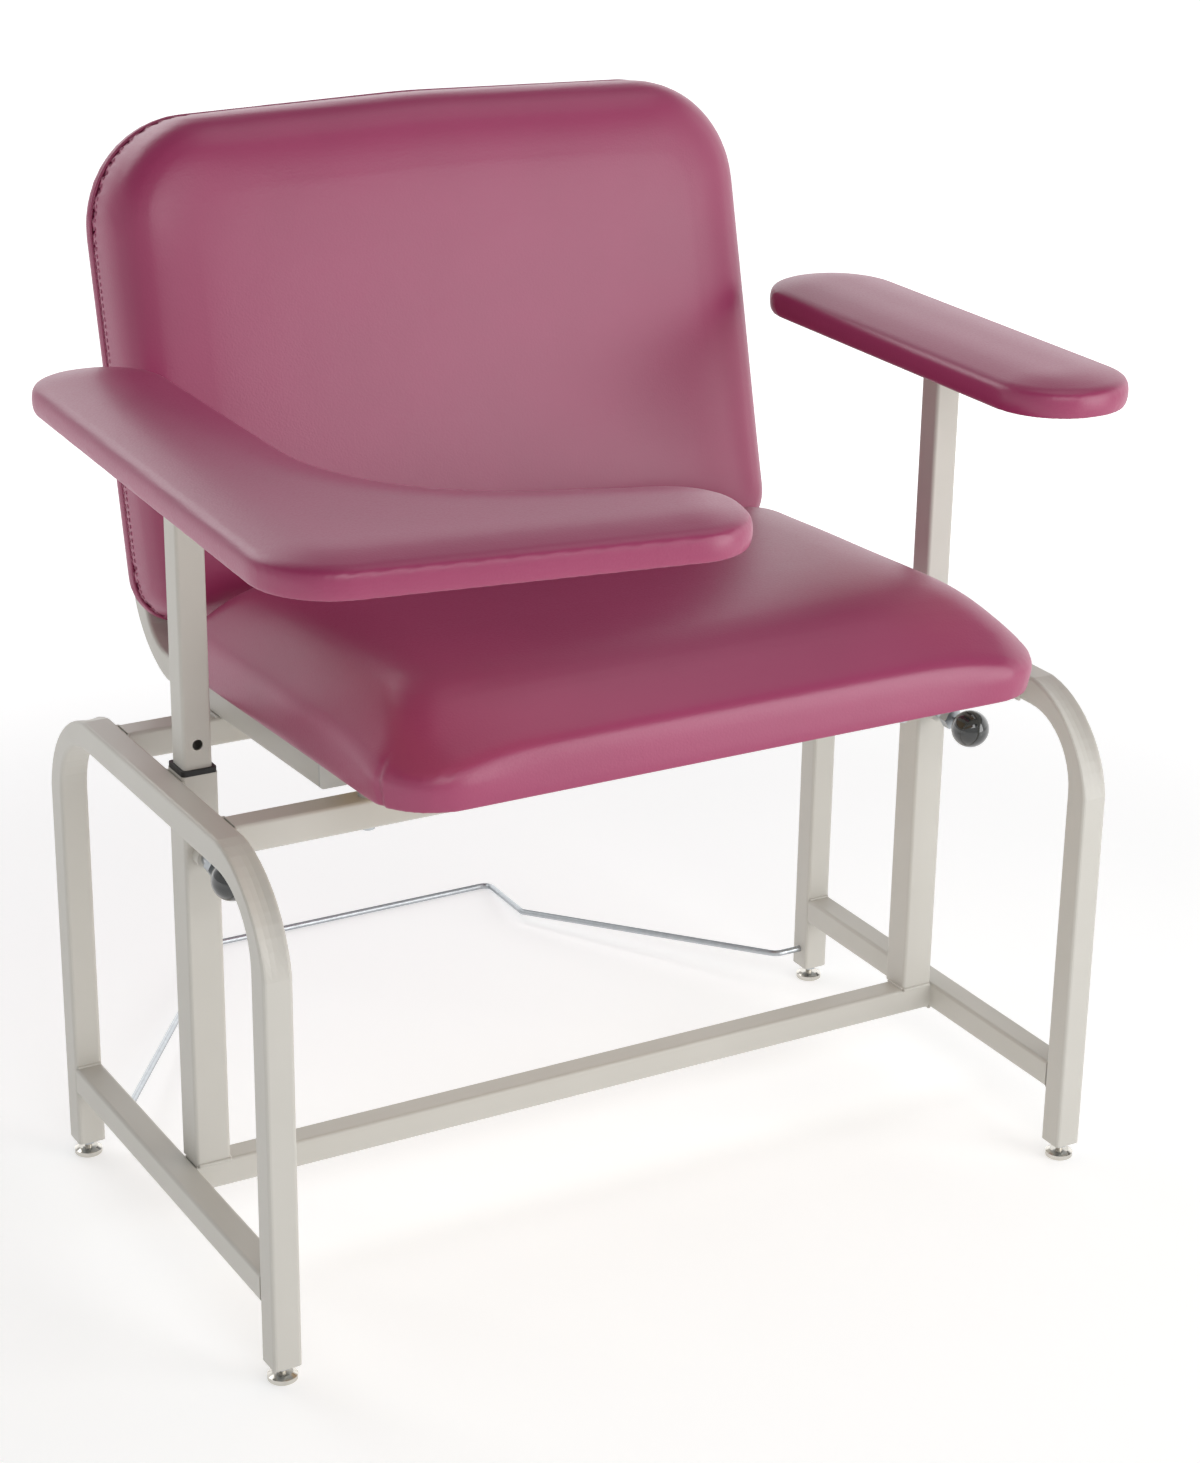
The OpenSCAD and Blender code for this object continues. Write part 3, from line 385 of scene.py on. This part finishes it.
def in_mm(pairs):
    """Pairs of numbers that are written in millimetres, in metres."""
    return [(a * mm, b * mm) for a, b in pairs]


def flowing(points):
    """A smooth curve through the points of a section (Catmull-Rom)."""
    curve = []
    for i in range(len(points) - 1):
        p0, p1, p2, p3 = (Vector(points[max(0, min(j, len(points) - 1))]) for j in (i - 1, i, i + 1, i + 2))
        for k in range(flow_steps):
            t = k / flow_steps
            curve.append(0.5 * (2 * p1 + (p2 - p0) * t + (2 * p0 - 5 * p1 + 4 * p2 - p3) * t * t
                                + (3 * p1 - p0 - 3 * p2 + p3) * t ** 3))
    return curve + [Vector(points[-1])]


def lofted(points, radii, section, least_r=tightest_r, side_hold=0, rear_hold=0):
    """A closed form over a section of (inset, height) points that runs round an outline. A hold is the
    share of each inset that the sides or the rear edge don't take, so that they stay steeper."""
    builder = bmesh.new()
    rings = []
    for inset, z in flowing(section):
        held = [(x + math.copysign(side_hold * inset, x), y + rear_hold * inset if y > 0 else y)
                for x, y in points]
        rings.append([builder.verts.new((p.x, p.y, z)) for p in outline(held, radii, inset, least_r=least_r)])
    skin(builder, rings)
    return builder


def settled(made, modifier):
    """Makes a modifier's result the piece's mesh, and takes the modifier off."""
    fresh = bpy.data.meshes.new_from_object(made.evaluated_get(bpy.context.evaluated_depsgraph_get()))
    made.modifiers.remove(modifier)
    made.data = fresh


def even_net(made, voxel):
    """Gives a piece an even net of small faces."""
    even = made.modifiers.new("even", "REMESH")
    even.mode = "VOXEL"
    even.voxel_size = voxel
    settled(made, even)


def eased(made, steps):
    """Smooths a piece's net in small steps."""
    relax = made.modifiers.new("relax", "SMOOTH")
    relax.factor = 0.5
    relax.iterations = steps
    settled(made, relax)


def read_points(mesh):
    """A mesh's points as an array."""
    points = np.empty(len(mesh.vertices) * 3)
    mesh.vertices.foreach_get("co", points)
    return points.reshape(-1, 3)


def write_points(mesh, points):
    """Puts an array of points back into a mesh."""
    mesh.vertices.foreach_set("co", points.ravel())
    mesh.update()


def inflate(made, swell, held_z):
    """Blows a piece up as cloth with its underside held. No point moves further than the swell, and the
    moves are evened out between neighbours, as the foam under the vinyl does."""
    before = read_points(made.data)
    held = made.vertex_groups.new(name="held")
    held.add([int(i) for i in np.nonzero(before[:, 2] < held_z)[0]], 1, "REPLACE")
    cloth = made.modifiers.new("cloth", "CLOTH")
    for setting, value in vinyl_sheet.items():
        setattr(cloth.settings, setting, value)
    cloth.settings.use_pressure = True
    cloth.settings.uniform_pressure_force = air_pressure
    cloth.settings.vertex_group_mass = "held"
    cloth.settings.effector_weights.gravity = 0
    cloth.collision_settings.use_collision = False
    cloth.point_cache.frame_end = settle_frames
    scene = bpy.context.scene
    for number in range(1, settle_frames + 1):
        scene.frame_set(number)
    after = read_points(made.evaluated_get(bpy.context.evaluated_depsgraph_get()).data)
    made.modifiers.remove(cloth)
    made.vertex_groups.clear()
    scene.frame_set(1)
    step = after - before
    length = np.linalg.norm(step, axis=1, keepdims=True)
    step *= np.minimum(1, swell / np.maximum(length, 1e-9))
    ends = np.empty(len(made.data.edges) * 2, dtype=np.int32)
    made.data.edges.foreach_get("vertices", ends)
    starts, stops = ends[0::2], ends[1::2]
    count = len(before)
    neighbours = np.bincount(ends, minlength=count)
    for _ in range(even_steps):
        for axis in range(3):
            total = np.bincount(starts, weights=step[stops, axis], minlength=count)
            total += np.bincount(stops, weights=step[starts, axis], minlength=count)
            step[:, axis] = total / neighbours
    write_points(made.data, before + step)


def cushion(name, body, form, swell=0, held_z=0, voxel=5 * mm, ease=3, work=None):
    """Makes a cushion from its lofted form, in its own upright frame. The form starts below its board,
    and is cut flat there at the end; work moves the points of the fine net, for gathers and pleats."""
    made = piece_from(form, name, vinyl, body)
    even_net(made, voxel)
    eased(made, ease)
    if swell:
        inflate(made, swell, held_z)
    fine = made.modifiers.new("fine", "SUBSURF")
    fine.levels = 1
    settled(made, fine)
    points = read_points(made.data)
    if work:
        points = work(points)
    points[:, 2] = np.maximum(points[:, 2], under_z)
    write_points(made.data, points)
    return made


def put(made, place):
    """Moves a finished mesh to its place on the chair."""
    made.data.transform(place)
    made.data.shade_smooth()


seat_slope = math.radians(-2.5)
seat_frame = Matrix.Translation((0, rail_y + half, frame_top)) @ Matrix.Rotation(seat_slope, 4, "X")
seat_w, seat_d = 618 * mm, 434 * mm
seat_front = 397.5 * mm
seat_rear = seat_d - seat_front
seat_corner, seat_rear_corner = 58 * mm, 30 * mm
seat_least_r = 30 * mm
seat_side_hold, seat_rear_hold = 0.45, 0.6
seat_swell, seat_held_z = 4 * mm, 6 * mm
seat_section = in_mm([(60, -4), (20, -4), (6, -4), (1.6, -1), (0.2, 6), (0, 18), (0, 28), (0.8, 36), (4, 43),
                      (10, 48), (20, 54), (34, 61.5), (52, 69.5), (74, 76.5), (98, 81), (130, 83.5),
                      (172, 84.5)])
seat_points = [(seat_w / 2, -seat_front), (seat_w / 2, seat_rear),
               (-seat_w / 2, seat_rear), (-seat_w / 2, -seat_front)]
seat_radii = [seat_corner, seat_rear_corner, seat_rear_corner, seat_corner]
corner_reach = 70 * mm
corner_drop = 0.28
corner_bulge, bulge_z, bulge_half = 6 * mm, 22 * mm, 14 * mm
pleat_angle = math.radians(16)
pleat_depth, pleat_half, pleat_top = 2.6 * mm, 3 * mm, 44 * mm
lip_share, lip_spread = 0.4, 1.5


def pleated(points):
    """Rounds the two front corners down and out, and presses one upright pleat into each."""
    for sx in (-1, 1):
        corner = np.array([sx * seat_w / 2, -seat_front])
        near = np.exp(-(np.linalg.norm(points[:, :2] - corner, axis=1) / corner_reach) ** 2)
        points[:, 2] *= 1 - corner_drop * near
        away = points[:, :2] - (corner - np.array([sx, -1]) * seat_corner)
        reach = np.maximum(np.linalg.norm(away, axis=1), 1e-6)
        outer = np.clip(2 * reach / seat_corner - 1, 0, 1)
        across = (np.arctan2(-away[:, 1], away[:, 0] * sx) - pleat_angle) * seat_corner
        fade = np.clip((pleat_top - points[:, 2]) / (pleat_top / 3), 0, 1)
        lip = lip_share * np.exp(-((across - 2 * pleat_half) / (lip_spread * pleat_half)) ** 2)
        fold = (lip - np.exp(-(across / pleat_half) ** 2)) * pleat_depth * fade * near
        swollen = corner_bulge * near * np.exp(-((points[:, 2] - bulge_z) / bulge_half) ** 2)
        points[:, :2] += away / reach[:, None] * ((fold + swollen) * outer)[:, None]
    return points


seat_form = lofted(seat_points, seat_radii, seat_section, seat_least_r, seat_side_hold, seat_rear_hold)
seat = cushion("seat_upholstery", "frame", seat_form, swell=seat_swell, held_z=seat_held_z, work=pleated)
put(seat, seat_frame @ Matrix.Translation((0, 0, tube)))
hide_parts("seat_cushion")

# Back cushion
# The front half of the back is foam on a plywood board. Its sheet of vinyl meets that of the rear cover in a
# stitched seam round the edge, and gathers there into small puckers where the seam turns the corners.
bend_y, bend_z, bend_r = 87 * mm, 69.9 * mm, 44.5 * mm
lean = math.radians(-11.2)
back_root = (0, bend_y + bend_r * math.cos(lean), bend_z + bend_r * math.sin(lean))
back_frame = (seat_frame @ Matrix.Translation(back_root)
              @ Matrix.Rotation(lean, 4, "X") @ Matrix.Rotation(math.radians(90), 4, "X"))
cover_t = 15 * mm
half_base, half_top = 316.5 * mm, 313.5 * mm
back_foot, back_shoulder, back_crest = -21 * mm, 415.5 * mm, 423.5 * mm
crest_r = 900 * mm
back_top_r, back_bottom_r = 100 * mm, 44 * mm
back_least_r = 30 * mm
back_swell, back_held_z = 4 * mm, 4 * mm
back_points = [(half_base, back_foot), (half_top, back_shoulder), (0, back_crest),
               (-half_top, back_shoulder), (-half_base, back_foot)]
back_radii = [back_bottom_r, back_top_r, crest_r, back_top_r, back_bottom_r]
back_section = in_mm([(60, -3), (10, -3), (4, -3), (1.4, 0), (0, 6), (0, 20), (0.5, 32), (2.3, 42), (6, 50.5),
                      (12, 57.5), (20.5, 63), (33, 67), (50, 69.2), (76, 70.2), (130, 70.8)])
seam_steps = 40
seam_ring = outline(back_points, back_radii, 0, seam_steps)
station_pitch = 1.5 * mm
pucker_pitch = 15 * mm
pucker_depth = 2 * mm
pucker_reach = 13 * mm
pucker_top = 3 * pucker_reach
gather_width = 25 * mm
gather_turn = 0.16
turn_span = 12
straight_share = 0.12
slow_drift, slow_waves = 0.9, 37
fast_drift, fast_waves = 0.6, 91


def along(ring):
    """Even stations on a closed outline, as (point, outward direction, distance along it)."""
    total = 0
    stations = []
    count = len(ring)
    for k, here in enumerate(ring):
        after = ring[(k + 1) % count]
        length = (after - here).length
        pieces = max(1, round(length / station_pitch))
        way = (after - here).normalized() if length > 0 else Vector((1, 0))
        for j in range(pieces):
            spot = here.lerp(after, j / pieces)
            stations.append((spot, Vector((way.y, -way.x)), total + length * j / pieces))
        total += length
    return stations


seam_stations = along(seam_ring)
seam_tree = KDTree(len(seam_stations))
for k, (spot, outward, distance) in enumerate(seam_stations):
    seam_tree.insert((spot.x, spot.y, 0), k)
seam_tree.balance()


def gathered(points):
    """Gathers the vinyl beside the seam, most where the outline turns and least on its straight runs."""
    for i, (x, y, z) in enumerate(points):
        if z > pucker_top:
            continue
        _, k, gap = seam_tree.find((x, y, 0))
        if gap > gather_width:
            continue
        _, outward, distance = seam_stations[k]
        ahead = seam_stations[(k + turn_span) % len(seam_stations)][1]
        behind = seam_stations[k - turn_span][1]
        turning = min(1, (ahead - behind).length / gather_turn)
        drift = slow_drift * math.sin(distance * slow_waves) + fast_drift * math.sin(distance * fast_waves)
        wave = 0.5 + 0.5 * math.sin(2 * math.pi * distance / pucker_pitch + 2 * drift)
        share = straight_share + (1 - straight_share) * turning
        depth = pucker_depth * share * wave ** 2 * math.exp(-(z / pucker_reach) ** 2)
        points[i, 0] -= outward.x * depth
        points[i, 1] -= outward.y * depth
    return points


back_form = lofted(back_points, back_radii, back_section, back_least_r)
back_piece = cushion("back_upholstery", "frame", back_form, swell=back_swell, held_z=back_held_z,
                     work=gathered)
front_half = back_frame @ Matrix.Translation((0, 0, cover_t))
put(back_piece, front_half)
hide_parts("back_cushion")

# Rear cover of the back
# A thinner padded cover over the rear of the back board, pierced by the four bolts. It wraps round the
# board's edge to the seam, and its vinyl is the same.
thin_voxel = 3.5 * mm
cover_section = in_mm([(60, -3), (10, -3), (4, -3), (1.2, 0), (0.2, 3), (0, 7), (0.8, 10), (3.2, 12.6),
                       (8, 14.2), (16, 14.8), (30, 15), (60, 15)])
cover_form = lofted(back_points, back_radii, cover_section)
cover = cushion("back_rear_upholstery", "frame", cover_form, voxel=thin_voxel, ease=1)
put(cover, front_half @ Matrix.Rotation(math.radians(180), 4, "Y"))
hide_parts("back_rear_cover")

# Back seam
# The two vinyls are folded together into a narrow ridge that runs round the edge, and two rows of top
# stitching in mauve polyester thread hold it. The light that its twist catches is painted into its colour as
# small spots of painted highlight and painted shade. Each stitch is a short bead of thread that lies in the
# vinyl.
fold_inset = 2.2 * mm
fold_ring = [front_half @ Vector((p.x, p.y, 0))
             for p in outline(back_points, back_radii, fold_inset, seam_steps)]
fold = bmesh.new()
bead(fold, fold_ring + fold_ring[:1])
piece_from(fold, "back_seam_fold", vinyl, "frame")
# The thread's two colours are a painted highlight and a painted shade, spotted by the twist's noise, which
# also bumps it.
thread_painted_highlight, thread_painted_shade = "#B5788C", "#8E4560"
twist_pitch = 1.2 * mm
twist_depth = 0.1 * mm
thread, tree = material("mauve_polyester_thread")
place = node(tree, "ShaderNodeTexCoord")
twist_and_glint = node(tree, "ShaderNodeTexNoise", {"Vector": place.outputs["Object"], "Scale": 1 / twist_pitch})
tint = node(tree, "ShaderNodeMix",
            {"Factor": twist_and_glint.outputs["Fac"], "A": linear(thread_painted_highlight), "B": linear(thread_painted_shade)},
            data_type="RGBA")
bump = node(tree, "ShaderNodeBump",
            {"Height": twist_and_glint.outputs["Fac"], "Strength": 0.5, "Distance": twist_depth})
fibre = node(tree, "ShaderNodeBsdfPrincipled",
             {"Base Color": tint.outputs["Result"], "Roughness": 0.5, "Normal": bump.outputs["Normal"]})
node(tree, "ShaderNodeOutputMaterial", {"Surface": fibre.outputs["BSDF"]})
stitch_pitch = 5.2 * mm
stitch_length = 3.8 * mm
stitch_rows = (4.5 * mm, 10 * mm)
stitch_sides = 6
stitch_swell = ((-1, 0.35), (-0.75, 0.9), (0, 1.1), (0.75, 0.9), (1, 0.35))
thread_r = 0.55 * mm
thread_lift = 0.35 * thread_r
search_from, search_reach = 30 * mm, 60 * mm


def stitch(builder, middle, way, lift):
    """One stitch: a bead with rounded ends that lies along the way."""
    side = way.cross(lift)
    rings = []
    for share, width in stitch_swell:
        centre = middle + way * share * stitch_length / 2
        rings.append([builder.verts.new(centre + thread_r * width * (math.cos(a) * side + math.sin(a) * lift))
                      for a in (2 * math.pi * j / stitch_sides for j in range(stitch_sides))])
    skin(builder, rings)


back_skin = BVHTree.FromPolygons([v.co for v in back_piece.data.vertices],
                                 [p.vertices for p in back_piece.data.polygons])
stitches = bmesh.new()
turned = front_half.to_3x3()
last = -stitch_pitch
for spot, outward, distance in seam_stations:
    if distance - last < stitch_pitch:
        continue
    last = distance
    for height in stitch_rows:
        beside = (spot.x + search_from * outward.x, spot.y + search_from * outward.y, height)
        start = front_half @ Vector(beside)
        inward = turned @ Vector((-outward.x, -outward.y, 0))
        hit, normal, _, _ = back_skin.ray_cast(start, inward, search_reach)
        if hit:
            way = (turned @ Vector((-outward.y, outward.x, 0))).normalized()
            stitch(stitches, hit + normal * thread_lift, way, normal)
piece_from(stitches, "back_seam_stitches", thread, "frame")

# Straight arm pad
# Firm foam on 12 mm plywood in one sheet of vinyl with round ends. Four screws hold it to the plate on its
# post. Its edge is upright with a soft ridge, and the top rises gently from there to the middle.
arm_top = 743 * mm
arm_t = 24 * mm
arm_under = arm_top - arm_t
arm_section = in_mm([(30, -3), (12, -3), (5, -3), (2, 0.5), (0.4, 4), (0, 8), (0, 14), (0.8, 18.2), (3, 21.6),
                     (6.5, 23.4), (11, 24.4), (17, 25.6), (25, 27), (34, 28.2), (43, 28.9), (52, 29.2)])
straight_half, straight_l, straight_shift = 64 * mm, 464 * mm, 4.5 * mm
straight_front, straight_rear = straight_shift - straight_l / 2, straight_shift + straight_l / 2
straight_r = 0.98 * straight_half
straight_points = [(straight_half, straight_front), (straight_half, straight_rear),
                   (-straight_half, straight_rear), (-straight_half, straight_front)]
straight_form = lofted(straight_points, [straight_r] * 4, arm_section)
straight = cushion("straight_arm_upholstery", "right_arm", straight_form, voxel=thin_voxel, ease=1)
put(straight, Matrix.Translation((sleeve_x, 0, arm_under)))
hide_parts("right_arm_cushion")

# L-shaped arm pad
# The same make as the straight pad, on one L-shaped board. It reaches across the seat, and swings outward on
# the stud of its post to let a patient in.
wing_points = in_mm([(50, -217), (54, 210), (-60, 210), (-81, -364), (286, -419), (313, -306)])
wing_radii = [r * mm for r in (190, 55, 55, 66, 55, 55)]
wing_form = lofted(wing_points, wing_radii, arm_section)
wing = cushion("wing_arm_upholstery", "left_arm", wing_form, voxel=thin_voxel, ease=1)
put(wing, Matrix.Translation((-sleeve_x, 0, arm_under)))
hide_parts("left_arm_cushion")

# Plain metal parts
# Zinc-plated steel for the wire guard, the bolts and the plungers: a pale, slightly blue-grey metal with soft
# streaks. The nickel-plated glides are brighter and warmer.
streak_drift = 0.2


def plated(name, light, dark, roughness, streak_pitch):
    """A plated metal whose tint and gloss drift in soft streaks."""
    made, tree = material(name)
    place = node(tree, "ShaderNodeTexCoord")
    streak = node(tree, "ShaderNodeTexNoise",
                  {"Vector": place.outputs["Object"], "Scale": 1 / streak_pitch, "Detail": 3})
    tint = node(tree, "ShaderNodeMix",
                {"Factor": streak.outputs["Fac"], "A": linear(light), "B": linear(dark)},
                data_type="RGBA")
    rough = node(tree, "ShaderNodeMapRange",
                 {"Value": streak.outputs["Fac"], "To Min": roughness * (1 - streak_drift),
                  "To Max": roughness * (1 + streak_drift)})
    metal = node(tree, "ShaderNodeBsdfPrincipled",
                 {"Base Color": tint.outputs["Result"], "Metallic": 1, "Roughness": rough.outputs["Result"]})
    node(tree, "ShaderNodeOutputMaterial", {"Surface": metal.outputs["BSDF"]})
    return made


zinc = plated("bright_zinc_plate", "#C6CACD", "#AEB3B8", 0.34, 5 * mm)
nickel = plated("nickel_plate", "#DAD7D0", "#C4C0B8", 0.2, 8 * mm)
dress(zinc, "seat_bolts", "back_bolts", "left_pivot_cap", "left_pivot_nut", "left_arm_screws",
      "right_arm_screws", "left_plunger_body", "right_plunger_body", "left_plunger_pin", "right_plunger_pin",
      "left_plunger_spring", "right_plunger_spring", "leg_inserts", "glide_nuts", "wall_guard_rod")
dress(nickel, "front_left_glide", "front_right_glide", "rear_left_glide", "rear_right_glide")

# Plastic parts
# Black nylon collars with a fine matte texture, grey plugs and stand-offs, and glossy smoked acrylic knobs,
# all moulded. The grit of the mould is drawn at 0.8 mm, coarser than it really is, so that it shows.
grit_pitch = 0.8 * mm
grit_drift = 0.15


def plastic(name, colour, roughness, grit, coat=0):
    """A moulded plastic with a fine grit in its surface."""
    made, tree = material(name)
    place = node(tree, "ShaderNodeTexCoord")
    fine = node(tree, "ShaderNodeTexNoise", {"Vector": place.outputs["Object"], "Scale": 1 / grit_pitch})
    bump = node(tree, "ShaderNodeBump", {"Height": fine.outputs["Fac"], "Strength": 0.3, "Distance": grit})
    rough = node(tree, "ShaderNodeMapRange",
                 {"Value": fine.outputs["Fac"], "To Min": roughness * (1 - grit_drift),
                  "To Max": roughness * (1 + grit_drift)})
    resin = node(tree, "ShaderNodeBsdfPrincipled",
                 {"Base Color": linear(colour), "Roughness": rough.outputs["Result"], "IOR": 1.5,
                  "Coat Weight": coat, "Coat Roughness": 0.03, "Normal": bump.outputs["Normal"]})
    node(tree, "ShaderNodeOutputMaterial", {"Surface": resin.outputs["BSDF"]})
    return made


nylon = plastic("black_nylon", "#151515", 0.5, 0.03 * mm)
grey_plastic = plastic("grey_polyethylene", "#B9BAB6", 0.42, 0.03 * mm)
acrylic = plastic("smoked_acrylic", "#242727", 0.1, 0.002 * mm, coat=1)
dress(nylon, "left_sleeve_collar", "right_sleeve_collar", "left_post_guide", "right_post_guide",
      "left_pivot_washer")
dress(grey_plastic, "tube_end_plugs", "seat_stand_offs")
dress(acrylic, "left_plunger_knob", "right_plunger_knob")

# Plywood boards
# Birch plywood, seen only from below inside the folded edge of the vinyl: pale, with a long soft figure that
# runs across the chair.
birch_light, birch_dark = "#D2B48C", "#B08F62"
figure_length, figure_width = 167 * mm, 13.9 * mm
figure_depth = 0.2 * mm
stretched = figure_length / figure_width
plywood, tree = material("birch_plywood")
place = node(tree, "ShaderNodeTexCoord")
stretch = node(tree, "ShaderNodeMapping",
               {"Vector": place.outputs["Object"], "Scale": (1, stretched, stretched)})
figure = node(tree, "ShaderNodeTexNoise",
              {"Vector": stretch.outputs["Vector"], "Scale": 1 / figure_length, "Detail": 6})
tint = node(tree, "ShaderNodeMix",
            {"Factor": figure.outputs["Fac"], "A": linear(birch_light), "B": linear(birch_dark)},
            data_type="RGBA")
bump = node(tree, "ShaderNodeBump",
            {"Height": figure.outputs["Fac"], "Strength": 0.3, "Distance": figure_depth})
wood = node(tree, "ShaderNodeBsdfPrincipled",
            {"Base Color": tint.outputs["Result"], "Roughness": 0.62, "Normal": bump.outputs["Normal"]})
node(tree, "ShaderNodeOutputMaterial", {"Surface": wood.outputs["BSDF"]})
dress(plywood, "seat_board", "back_board", "left_arm_board", "right_arm_board")
